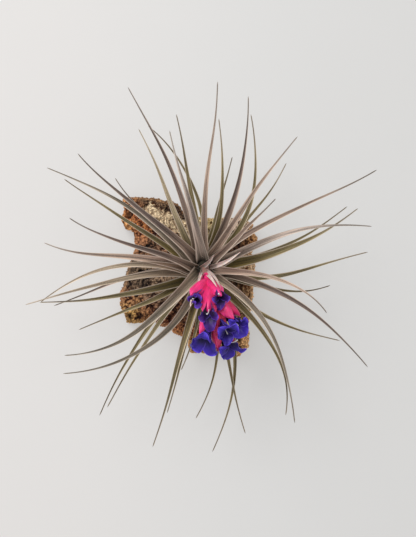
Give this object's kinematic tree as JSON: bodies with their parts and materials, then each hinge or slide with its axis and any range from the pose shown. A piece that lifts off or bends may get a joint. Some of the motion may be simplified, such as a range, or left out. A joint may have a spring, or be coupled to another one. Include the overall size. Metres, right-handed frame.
{
  "type": "flowering air plant on a cork bark slab",
  "caption": "Rosette of narrow channelled leaves with a nodding spike of pink bracts and violet flowers, rooted on an irregular cork bark slab that lies on its flat back.",
  "frame": {"origin": "point on the slab's flat back under the plant's stem", "axes": "+Z out of the bark's face along the stem, +Y towards the slab's upper edge, +X to its right"},
  "size_m": [0.2053, 0.2225, 0.0984],
  "materials": {
    "cork": "rough crumbly bark",
    "leaf": "matt with pale scurf",
    "root": "dry and wiry",
    "scape": "satin",
    "bract": "satin",
    "petal": "soft satin"
  },
  "bodies": {
    "root": {"cork_slab": "cork", "leafy_stem": "leaf", "roots": "root", "scape": "scape", "floral_bracts": "bract", "corolla_1": "petal", "corolla_2": "petal", "corolla_3": "petal", "corolla_4": "petal", "corolla_5": "petal", "corolla_6": "petal", "corolla_7": "petal"}
  },
  "joints": []
}
